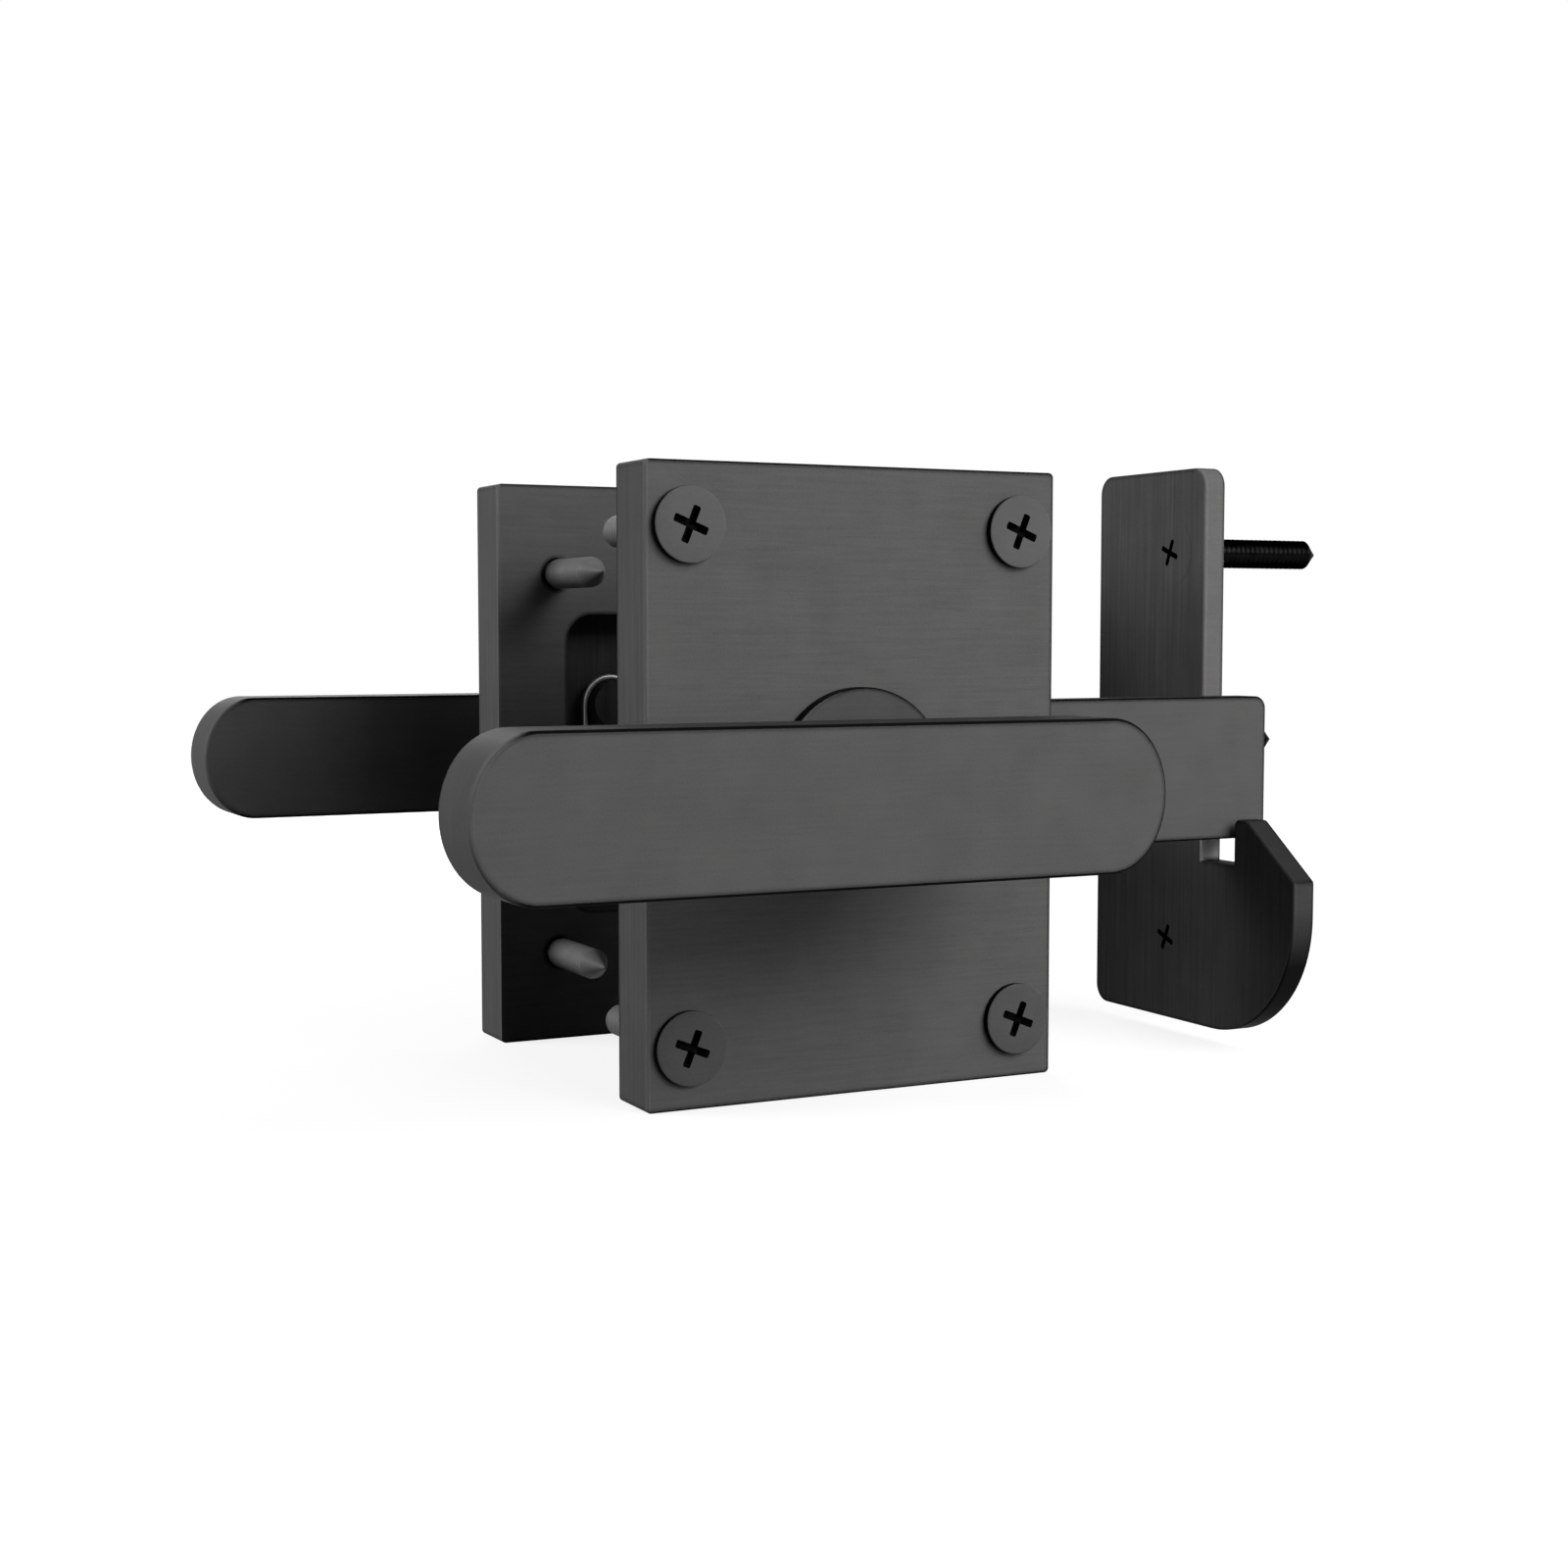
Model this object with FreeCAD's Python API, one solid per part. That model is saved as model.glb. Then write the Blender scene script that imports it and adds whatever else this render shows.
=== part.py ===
import FreeCAD, Part
import math
import os

V = FreeCAD.Vector

# Gate latch with a lever handle on each face of the gate and a strike on the post.
# Origin: the spindle's axis where it meets the gate's front face.
# +X runs along the latch bar to the post, +Y into the gate, +Z up. Millimetres.
# A "depth" is measured outwards from the gate's face, so both sides share the same values.

# Gate and plates
gate_thick = 66.3
plate_width = 88.0
plate_height = 120.0
plate_web = 3.4
plate_corner = 1.0
plate_edge = 0.5

# Pocket of the front plate, which the bar swings in
bar_lift_deg = 14.0
channel_play = 0.5
lift_margin_deg = 1.0

# Pocket of the rear plate, with the boss that holds the spring's fixed leg
spring_pocket_width = 56.8
spring_pocket_height = 64.8
spring_pocket_corner = 6.0
boss_radius = 5.0
boss_x = -15.5
boss_z = 12.6
boss_depth = 3.6

# Bushes
bore_radius = 10.5
seat_gap = 0.02
flange_radius = 18.2
flange_thick = 2.6
flange_lip = 0.4

# Handles
handle_height = 27.4
handle_thick = 15.2
handle_reach = 95.5
handle_tail = 33.5
handle_end = 11.4
handle_edge = 0.7
handle_standoff = 37.5
neck_radius = 11.0
neck_flare = 1.6
journal_radius = 8.5
journal_play = 0.05
socket_length = 26.0

# Spindle and its drive
spindle_side = 8.0
spindle_chamfer = 0.6
drive_play = 0.05
spindle_entry = 25.0

# Thrust washers and circlip
washer_thick = 0.8
thrust_play = 0.1
circlip_thick = 0.8
circlip_width = 3.0
circlip_inset = 0.6
circlip_wall_gap = 0.245
circlip_opening = 7.0
journal_land = 0.6
groove_play = 0.05

# Latch bar
bar_height = 30.0
bar_thick = 7.0
bar_tip = 100.5
bar_corner = 2.6
bar_edge = 0.5
bar_wall_play = 0.3

# Hub behind the bar
hub_radius = 10.0
hub_length = 14.6
hub_edge = 0.6
hub_grub_inset = 6.0

# Grub screws
grub_radius = 2.5
grub_key = 2.5
grub_key_depth = 2.6
grub_recess = 0.4
grub_standoff = 12.0

# Spring and its carrier
wire_radius = 0.65
coil_radius = 8.5
coil_pitch = 1.34
coil_turns = 3.25
hook_gap = 0.35
leg_bend = 4.0
hook_tail = 3.0
moving_leg = 9.5
carrier_radius = 7.2
carrier_flange = 1.5
carrier_inset = 0.5
carrier_end_gap = 0.25
spring_gap = 0.25
peg_radius = 1.5
peg_gap = 0.1
peg_height = 8.0
arm_tip = 3.2

# Screws, all 40 mm long. The thread starts where the screw leaves the metal, and its crests
# set the radius of the solid there.
thread_radius = 3.2
shank_radius = 2.7
screw_length = 40.0
plate_screw_point = 6.8
strike_screw_point = 3.6
screw_hole_play = 0.2
flat_head_radius = 7.1
flat_head_thick = 1.6
flat_head_edge = 0.5
flat_head_undercut = 0.5
recess_reach = 3.6
recess_width = 1.5
recess_depth = 2.6
recess_turn_deg = -22.0
front_screw_side = 8.5
front_screw_end = 11.8
rear_screw_side = 13.5
rear_screw_end = 19.0

# Strike on the post
strike_face_x = 91.4
strike_thick = 5.2
strike_near_gap = 0.1
strike_width = 38.9
strike_height = 120.0
strike_centre_z = 3.6
strike_corner = 4.0
strike_edge = 0.45
notch_front_play = 1.4
notch_floor_play = 5.5
hook_overlap = 4.2
tip_flat = 4.4
tip_corner = 1.4
nose_reach = 30.7
nose_drop = 11.5
nose_flat = 7.5
nose_corner = 1.0
sink_head_radius = 6.2
strike_screw_end = 17.8
strike_screw_y = 12.6
middle_screw_offset = 14.6

# How closely two places agree when they count as the same edge
edge_match = 1e-3

# Levels that follow from the values above, as depths. The spring, the journal's end and the
# circlip stack up in the rear plate's pocket, which sets the depth of both plates.
carrier_top = carrier_inset + carrier_flange
moving_leg_depth = carrier_top + spring_gap + wire_radius
coil_length = coil_turns * coil_pitch
fixed_leg_depth = moving_leg_depth + coil_length
rear_journal_end = fixed_leg_depth + wire_radius + spring_gap
carrier_end = rear_journal_end - carrier_end_gap
groove_low = rear_journal_end + journal_land
groove_high = groove_low + circlip_thick + 2 * groove_play
pocket_depth = groove_high + circlip_wall_gap
plate_thick = pocket_depth + plate_web
flange_face = plate_thick + flange_thick
washer_face = flange_face + washer_thick
neck_shoulder = washer_face + thrust_play
handle_inner = plate_thick + handle_standoff
handle_outer = handle_inner + handle_thick
bar_front = pocket_depth - bar_wall_play
bar_back = bar_front - bar_thick
spindle_half = spindle_side / 2
grub_key_corner = grub_key / math.sqrt(3)
peg_x = coil_radius + wire_radius + peg_gap + peg_radius
moving_leg_deg = 360 * coil_turns - 90
front_screw_x = plate_width / 2 - front_screw_side
front_screw_z = plate_height / 2 - front_screw_end
rear_screw_x = plate_width / 2 - rear_screw_side
rear_screw_z = plate_height / 2 - rear_screw_end
strike_screw_rise = strike_height / 2 - strike_screw_end
strike_near_y = strike_near_gap
strike_back_x = strike_face_x + strike_thick
notch_floor_z = -bar_height / 2 - notch_floor_play
hook_y = -(bar_front + notch_front_play)
tip_z = -bar_height / 2 + hook_overlap


def mirrored(shape):
    """The same piece on the gate's back face."""
    return shape.mirror(V(0, gate_thick / 2, 0), V(0, 1, 0))


def cylinder(radius, low, high):
    """Round piece on the spindle's axis between two depths, on the front side."""
    return Part.makeCylinder(radius, high - low, V(0, -low, 0), V(0, -1, 0))


def square_bar(side, low, high):
    """Square bar on the spindle's axis between two depths, on the front side."""
    return Part.makeBox(side, high - low, side, V(-side / 2, -high, -side / 2))


def prism(edges, low, high):
    """Outline in the XZ plane, given at y = 0, between two depths on the front side."""
    face = Part.Face(Part.Wire(edges))
    face.translate(V(0, -low, 0))
    return face.extrude(V(0, low - high, 0))


def edges_at(shape, test):
    """Edges whose centre and direction pass a test."""
    found = []
    for edge in shape.Edges:
        ends = [vertex.Point for vertex in edge.Vertexes]
        if len(ends) == 2 and test(edge, ends[0], ends[1]):
            found.append(edge)
    return found


def edges_along(shape, axis, places):
    """Straight edges along X or Y that stand over one of the places in the other two axes."""
    def over(edge, first, last):
        ends = []
        for point in (first, last):
            flat = (point.y, point.z) if axis == "x" else (point.x, point.z)
            ends.append(flat)
        if math.dist(*ends) > edge_match:
            return False
        return any(math.dist(ends[0], place) < edge_match for place in places)
    return edges_at(shape, over)


def edges_on_depth(shape, depth):
    """Edges that lie in the plane of one depth on the front side."""
    return [edge for edge in shape.Edges
            if max(abs(edge.BoundBox.YMin + depth), abs(edge.BoundBox.YMax + depth)) < edge_match]


def edges_on_x(shape, x):
    """Edges that lie in one plane across X."""
    return [edge for edge in shape.Edges
            if max(abs(edge.BoundBox.XMin - x), abs(edge.BoundBox.XMax - x)) < edge_match]


def screw_places(across, up):
    """The four corners of a rectangle of screws, clockwise from the top left."""
    return [(-across, up), (across, up), (across, -up), (-across, -up)]


def plain_plate(places):
    """Plate with rounded corners, softened front edge, bore for the bush and screw holes."""
    half = plate_width / 2
    tall = plate_height / 2
    plate = Part.makeBox(plate_width, plate_thick, plate_height, V(-half, -plate_thick, -tall))
    corners = [(x, z) for x in (-half, half) for z in (-tall, tall)]
    plate = plate.makeFillet(plate_corner, edges_along(plate, "y", corners))
    plate = plate.makeFillet(plate_edge, edges_on_depth(plate, plate_thick))
    plate = plate.cut(cylinder(bore_radius, 0, plate_thick))
    for x, z in places:
        hole = Part.makeCylinder(thread_radius + screw_hole_play, plate_thick, V(x, 0, z), V(0, -1, 0))
        plate = plate.cut(hole)
    return plate


def bar_channel():
    """Room for the bar: a round about the spindle that opens to the right between two stops."""
    radius = bar_height / 2 + channel_play
    lift = math.radians(bar_lift_deg + lift_margin_deg)
    outside = plate_width
    top_start = V(-radius * math.sin(lift), 0, radius * math.cos(lift))
    run = (outside - top_start.x) / math.cos(lift)
    top_end = top_start + V(math.cos(lift), 0, math.sin(lift)) * run
    low_start = V(0, 0, -radius)
    low_end = V(outside, 0, -radius)
    edges = [
        Part.LineSegment(low_end, low_start).toShape(),
        Part.Arc(low_start, V(-radius, 0, 0), top_start).toShape(),
        Part.LineSegment(top_start, top_end).toShape(),
        Part.LineSegment(top_end, low_end).toShape(),
    ]
    return prism(edges, 0, pocket_depth)


def front_plate():
    return plain_plate(screw_places(front_screw_x, front_screw_z)).cut(bar_channel())


def rear_plate():
    plate = plain_plate(screw_places(rear_screw_x, rear_screw_z))
    half = spring_pocket_width / 2
    tall = spring_pocket_height / 2
    pocket = Part.makeBox(spring_pocket_width, pocket_depth, spring_pocket_height,
                          V(-half, -pocket_depth, -tall))
    corners = [(x, z) for x in (-half, half) for z in (-tall, tall)]
    pocket = pocket.makeFillet(spring_pocket_corner, edges_along(pocket, "y", corners))
    boss = Part.makeCylinder(boss_radius, pocket_depth - boss_depth, V(boss_x, -pocket_depth, boss_z),
                             V(0, 1, 0))
    return mirrored(plate.cut(pocket).fuse(boss).removeSplitter())


def flanged_bush():
    """Sleeve in the plate's web with a round flange on the plate's face."""
    sleeve = cylinder(bore_radius - seat_gap, pocket_depth, flange_face)
    flange = cylinder(flange_radius, plate_thick, flange_face)
    flange = flange.makeFillet(flange_lip, edges_on_depth(flange, flange_face))
    bore = cylinder(journal_radius + journal_play, pocket_depth, flange_face)
    return sleeve.fuse(flange).removeSplitter().cut(bore)


def neck_washer():
    ring = cylinder(neck_radius, flange_face, washer_face)
    return ring.cut(cylinder(journal_radius + journal_play, flange_face, washer_face))


def grip_outline():
    """Flat bar's outline: straight top and bottom, a half ellipse at each end."""
    tall = handle_height / 2
    left = -handle_reach + handle_end
    right = handle_tail - handle_end

    def half_ellipse(centre_x, side):
        ellipse = Part.Ellipse(V(centre_x, 0, tall), V(centre_x + side * handle_end, 0, 0), V(centre_x, 0, 0))
        arc = Part.ArcOfEllipse(ellipse, 0, math.pi)
        edge = arc.toShape()
        middle = edge.valueAt((edge.FirstParameter + edge.LastParameter) / 2)
        if (middle.x - centre_x) * side < 0:
            edge = Part.ArcOfEllipse(ellipse, math.pi, 2 * math.pi).toShape()
        return edge

    return [
        Part.LineSegment(V(left, 0, tall), V(right, 0, tall)).toShape(),
        half_ellipse(right, 1),
        Part.LineSegment(V(right, 0, -tall), V(left, 0, -tall)).toShape(),
        half_ellipse(left, -1),
    ]


def neck():
    """Round neck that flares where it runs into the grip."""
    low = neck_shoulder
    high = handle_inner
    bend = neck_flare * (1 - math.sqrt(0.5))
    edges = [
        Part.LineSegment(V(0, -low, 0), V(neck_radius, -low, 0)).toShape(),
        Part.LineSegment(V(neck_radius, -low, 0), V(neck_radius, neck_flare - high, 0)).toShape(),
        Part.Arc(V(neck_radius, neck_flare - high, 0), V(neck_radius + bend, bend - high, 0),
                 V(neck_radius + neck_flare, -high, 0)).toShape(),
        Part.LineSegment(V(neck_radius + neck_flare, -high, 0), V(0, -high, 0)).toShape(),
        Part.LineSegment(V(0, -high, 0), V(0, -low, 0)).toShape(),
    ]
    return Part.Face(Part.Wire(edges)).revolve(V(0, 0, 0), V(0, 1, 0), 360)


def handle(journal_end, groove):
    """Grip, neck and journal in one casting, with the square socket for the spindle."""
    grip = prism(Part.__sortEdges__(grip_outline()), handle_inner, handle_outer)
    rims = edges_on_depth(grip, handle_outer) + edges_on_depth(grip, handle_inner)
    grip = grip.makeFillet(handle_edge, rims)
    journal = cylinder(journal_radius, journal_end, neck_shoulder)
    casting = grip.fuse([neck(), journal]).removeSplitter()
    socket_side = spindle_side + 2 * drive_play
    casting = casting.cut(square_bar(socket_side, journal_end, journal_end + socket_length))
    depth = plate_thick + grub_standoff
    tapping = Part.makeCylinder(grub_radius + seat_gap, neck_radius, V(0, -depth, 0), V(0, 0, -1))
    casting = casting.cut(tapping)
    if groove:
        ring = cylinder(journal_radius, groove_low, groove_high)
        ring = ring.cut(cylinder(journal_radius - circlip_inset, groove_low, groove_high))
        casting = casting.cut(ring)
    return casting


def grub_screw(depth, outer, upwards):
    """Socket set screw between the spindle's flat and a round neck or hub."""
    low = spindle_half + seat_gap
    high = outer - grub_recess
    way = 1 if upwards else -1
    body = Part.makeCylinder(grub_radius, high - low, V(0, -depth, way * low), V(0, 0, way))
    points = [V(grub_key_corner * math.cos(math.radians(turn)),
                grub_key_corner * math.sin(math.radians(turn)) - depth, way * high)
              for turn in range(0, 361, 60)]
    key = Part.Face(Part.makePolygon(points)).extrude(V(0, 0, -way * grub_key_depth))
    return body.cut(key)


def spindle():
    low = -(gate_thick + rear_journal_end + spindle_entry)
    high = pocket_depth + spindle_entry
    bar = square_bar(spindle_side, low, high)
    corners = [(x, z) for x in (-spindle_half, spindle_half) for z in (-spindle_half, spindle_half)]
    return bar.makeChamfer(spindle_chamfer, edges_along(bar, "y", corners))


def latch_bar():
    """Flat bar with a round end about the spindle and a clipped tip behind the strike's hook."""
    tall = bar_height / 2
    edges = [
        Part.LineSegment(V(0, 0, tall), V(bar_tip, 0, tall)).toShape(),
        Part.LineSegment(V(bar_tip, 0, tall), V(bar_tip, 0, -tall)).toShape(),
        Part.LineSegment(V(bar_tip, 0, -tall), V(0, 0, -tall)).toShape(),
        Part.Arc(V(0, 0, -tall), V(-tall, 0, 0), V(0, 0, tall)).toShape(),
    ]
    bar = prism(edges, bar_back, bar_front)
    bar = bar.makeFillet(bar_corner, edges_along(bar, "y", [(bar_tip, tall), (bar_tip, -tall)]))
    rims = edges_on_depth(bar, bar_front) + edges_on_depth(bar, bar_back)
    bar = bar.makeFillet(bar_edge, rims)
    return bar.cut(square_bar(spindle_side + 2 * drive_play, bar_back, bar_front))


def bar_hub():
    """Collar behind the bar, in the gate's bore, with a tapped hole for its grub screw."""
    low = bar_back - hub_length
    hub = cylinder(hub_radius, low, bar_back)
    hub = hub.makeChamfer(hub_edge, edges_on_depth(hub, low))
    hub = hub.cut(square_bar(spindle_side + 2 * drive_play, low, bar_back))
    depth = low + hub_grub_inset
    return hub.cut(Part.makeCylinder(grub_radius + seat_gap, hub_radius, V(0, -depth, 0), V(0, 0, 1)))


def circlip():
    """Open ring in the rear journal's groove."""
    low = groove_low + groove_play
    high = groove_high - groove_play
    inner = journal_radius - circlip_inset + seat_gap
    ring = cylinder(inner + circlip_width, low, high).cut(cylinder(inner, low, high))
    gap = Part.makeBox(circlip_opening, high - low, journal_radius + circlip_width,
                       V(-circlip_opening / 2, -high, -journal_radius - circlip_width))
    return mirrored(ring.cut(gap))


def spring_carrier():
    """Sleeve inside the coil with an arm whose peg bears on the spring's moving leg."""
    sleeve = cylinder(carrier_radius, carrier_inset, carrier_end)
    reach = math.hypot(peg_x, peg_height)
    slope = math.atan2(peg_height, peg_x)
    side = math.acos((carrier_radius - arm_tip) / reach)
    rays = [slope + side, slope - side]
    near = [V(carrier_radius * math.cos(ray), 0, carrier_radius * math.sin(ray)) for ray in rays]
    far = [V(peg_x + arm_tip * math.cos(ray), 0, peg_height + arm_tip * math.sin(ray)) for ray in rays]
    tip = V(peg_x + arm_tip * math.cos(slope), 0, peg_height + arm_tip * math.sin(slope))
    edges = [
        Part.LineSegment(near[0], far[0]).toShape(),
        Part.Arc(far[0], tip, far[1]).toShape(),
        Part.LineSegment(far[1], near[1]).toShape(),
        Part.LineSegment(near[1], near[0]).toShape(),
    ]
    arm = prism(edges, carrier_inset, carrier_top)
    peg_top = moving_leg_depth + 2 * wire_radius
    peg = Part.makeCylinder(peg_radius, peg_top - carrier_inset, V(peg_x, -carrier_inset, peg_height),
                            V(0, -1, 0))
    for piece in (arm, peg):
        piece.rotate(V(0, 0, 0), V(0, 1, 0), -moving_leg_deg)
    carrier = sleeve.fuse([arm, peg]).removeSplitter()
    bore = square_bar(spindle_side + 2 * drive_play, carrier_inset, carrier_end)
    return mirrored(carrier.cut(bore))


def spring_path():
    """Line of the wire: hook over the boss, leg to the coil, coil, leg to the peg."""
    depth = -fixed_leg_depth
    hook = boss_radius + hook_gap + wire_radius
    left = boss_x - hook
    right = boss_x + hook
    low = -coil_radius
    bend = math.sqrt(0.5) * leg_bend

    def at(x, z):
        return V(x, depth, z)

    legs = [
        Part.LineSegment(at(right, boss_z - hook_tail), at(right, boss_z)).toShape(),
        Part.Arc(at(right, boss_z), at(boss_x, boss_z + hook), at(left, boss_z)).toShape(),
        Part.LineSegment(at(left, boss_z), at(left, low + leg_bend)).toShape(),
        Part.Arc(at(left, low + leg_bend), at(left + leg_bend - bend, low + leg_bend - bend),
                 at(left + leg_bend, low)).toShape(),
        Part.LineSegment(at(left + leg_bend, low), at(0, low)).toShape(),
    ]
    helix = Part.makeHelix(coil_pitch, coil_length, coil_radius)
    helix.rotate(V(0, 0, 0), V(0, 0, 1), -90)
    helix.rotate(V(0, 0, 0), V(1, 0, 0), 90)
    helix = helix.mirror(V(0, 0, 0), V(0, 1, 0))
    helix.translate(V(0, depth, 0))
    return legs, helix


def return_spring():
    """Torsion spring round the carrier, from 1.3 mm wire."""
    legs, helix = spring_path()
    turn = math.radians(moving_leg_deg)
    start = V(coil_radius * math.cos(turn), -moving_leg_depth, coil_radius * math.sin(turn))
    way = V(-math.sin(turn), 0, math.cos(turn))
    end = start + way * moving_leg
    path = Part.Wire(legs + helix.Edges + [Part.LineSegment(start, end).toShape()])
    first = legs[0].Vertexes[0].Point
    section = Part.Wire(Part.makeCircle(wire_radius, first, V(0, 0, 1)))
    return mirrored(path.makePipeShell([section], True, True))


def cross_recess(face_depth):
    """Cross-shaped driver recess sunk from a head's face, about the Y axis."""
    arms = []
    for turn in (recess_turn_deg, recess_turn_deg + 90):
        arm = Part.makeBox(2 * recess_reach, recess_depth, recess_width,
                           V(-recess_reach, -face_depth, -recess_width / 2))
        arm.rotate(V(0, 0, 0), V(0, 1, 0), -turn)
        arms.append(arm)
    return arms[0].fuse(arms[1])


def plate_screw(x, z):
    """Flat round head on the plate's face, plain shank in the plate, pointed thread in the gate."""
    top = plate_thick + flat_head_thick
    tip = plate_thick - screw_length
    profile = [
        V(0, -tip, 0),
        V(thread_radius, -(tip + plate_screw_point), 0),
        V(thread_radius, 0, 0),
        V(shank_radius, 0, 0),
        V(shank_radius, -plate_thick, 0),
        V(flat_head_radius - flat_head_undercut, -plate_thick, 0),
        V(flat_head_radius, -(top - flat_head_edge), 0),
        V(flat_head_radius - flat_head_edge, -top, 0),
        V(0, -top, 0),
        V(0, -tip, 0),
    ]
    screw = Part.Face(Part.makePolygon(profile)).revolve(V(0, 0, 0), V(0, 1, 0), 360)
    screw = screw.cut(cross_recess(top))
    screw.translate(V(x, 0, z))
    return screw


def strike_screw_places():
    """Two screws in line and the third one set off towards the gate's far face."""
    centre = strike_centre_z
    return [
        (strike_screw_y, centre + strike_screw_rise),
        (strike_screw_y + middle_screw_offset, centre),
        (strike_screw_y, centre - strike_screw_rise),
    ]


def turned_about_x(profile):
    """Round solid about +X from pairs of distance and radius."""
    points = [V(x, radius, 0) for x, radius in profile]
    points.append(points[0])
    return Part.Face(Part.makePolygon(points)).revolve(V(0, 0, 0), V(1, 0, 0), 360)


def sink_hole():
    """Countersunk hole through the strike, wider than the screw by the play."""
    head = sink_head_radius + screw_hole_play
    bore = thread_radius + screw_hole_play
    return turned_about_x([(0, 0), (0, head), (head - bore, bore), (strike_thick, bore), (strike_thick, 0)])


def strike_screw(y, z):
    """Countersunk screw from the strike's face, plain in the strike and threaded in the post."""
    screw = turned_about_x([
        (0, 0), (0, sink_head_radius), (sink_head_radius - shank_radius, shank_radius),
        (strike_thick, shank_radius), (strike_thick, thread_radius),
        (screw_length - strike_screw_point, thread_radius), (screw_length, 0),
    ])
    recess = cross_recess(0)
    recess.rotate(V(0, 0, 0), V(0, 0, 1), 90)
    screw = screw.cut(recess)
    screw.translate(V(strike_face_x, y, z))
    return screw


def strike_plate():
    """One flat piece: screw flange on the post, notch for the bar and ramped hook in front."""
    top = strike_centre_z + strike_height / 2
    bottom = strike_centre_z - strike_height / 2
    far = strike_near_y + strike_width
    nose_top = tip_z - nose_drop
    nose_low = nose_top - nose_flat
    sweep = nose_low - bottom
    middle = math.sqrt(0.5) * sweep
    belly = -nose_reach + sweep

    def at(y, z):
        return V(strike_face_x, y, z)

    def line(first, last):
        return Part.LineSegment(first, last).toShape()

    points = [
        at(belly, bottom), at(far, bottom), at(far, top), at(strike_near_y, top),
        at(strike_near_y, notch_floor_z), at(hook_y, notch_floor_z), at(hook_y, tip_z),
        at(hook_y - tip_flat, tip_z), at(-nose_reach, nose_top), at(-nose_reach, nose_low),
    ]
    edges = [line(points[index], points[index + 1]) for index in range(len(points) - 1)]
    edges.append(Part.Arc(points[-1], at(belly - middle, nose_low - middle), points[0]).toShape())
    plate = Part.Face(Part.Wire(edges)).extrude(V(strike_thick, 0, 0))
    corners = [(far, bottom), (far, top), (strike_near_y, top)]
    plate = plate.makeFillet(strike_corner, edges_along(plate, "x", corners))
    tips = [(hook_y, tip_z), (hook_y - tip_flat, tip_z)]
    plate = plate.makeFillet(tip_corner, edges_along(plate, "x", tips))
    plate = plate.makeFillet(nose_corner, edges_along(plate, "x", [(-nose_reach, nose_top)]))
    rims = edges_on_x(plate, strike_face_x) + edges_on_x(plate, strike_back_x)
    plate = plate.makeFillet(strike_edge, rims)
    for y, z in strike_screw_places():
        hole = sink_hole()
        hole.translate(V(strike_face_x, y, z))
        plate = plate.cut(hole)
    return plate


def all_parts():
    """Every node's shape by name."""
    hub_depth = bar_back - hub_length + hub_grub_inset
    neck_depth = plate_thick + grub_standoff
    nodes = {
        "front_plate": front_plate(),
        "rear_plate": rear_plate(),
        "front_bush": flanged_bush(),
        "rear_bush": mirrored(flanged_bush()),
        "front_neck_washer": neck_washer(),
        "rear_neck_washer": mirrored(neck_washer()),
        "front_handle": handle(pocket_depth, False),
        "rear_handle": mirrored(handle(rear_journal_end, True)),
        "spindle": spindle(),
        "latch_bar": latch_bar(),
        "bar_hub": bar_hub(),
        "hub_grub_screw": grub_screw(hub_depth, hub_radius, True),
        "front_grub_screw": grub_screw(neck_depth, neck_radius, False),
        "rear_grub_screw": mirrored(grub_screw(neck_depth, neck_radius, False)),
        "rear_circlip": circlip(),
        "spring_carrier": spring_carrier(),
        "return_spring": return_spring(),
        "strike_plate": strike_plate(),
    }
    for index, (x, z) in enumerate(screw_places(front_screw_x, front_screw_z), 1):
        nodes[f"front_plate_screw_{index}"] = plate_screw(x, z)
    for index, (x, z) in enumerate(screw_places(rear_screw_x, rear_screw_z), 1):
        nodes[f"rear_plate_screw_{index}"] = mirrored(plate_screw(x, z))
    for index, (y, z) in enumerate(strike_screw_places(), 1):
        nodes[f"strike_screw_{index}"] = strike_screw(y, z)
    return nodes


os.makedirs("parts", exist_ok=True)
for name, shape in all_parts().items():
    if len(shape.Solids) != 1 or not shape.isValid():
        print("check", name, len(shape.Solids), shape.isValid())
    shape.exportStep(f"parts/{name}.step")
    print(name, round(shape.Volume, 1))
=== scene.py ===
import math

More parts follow.
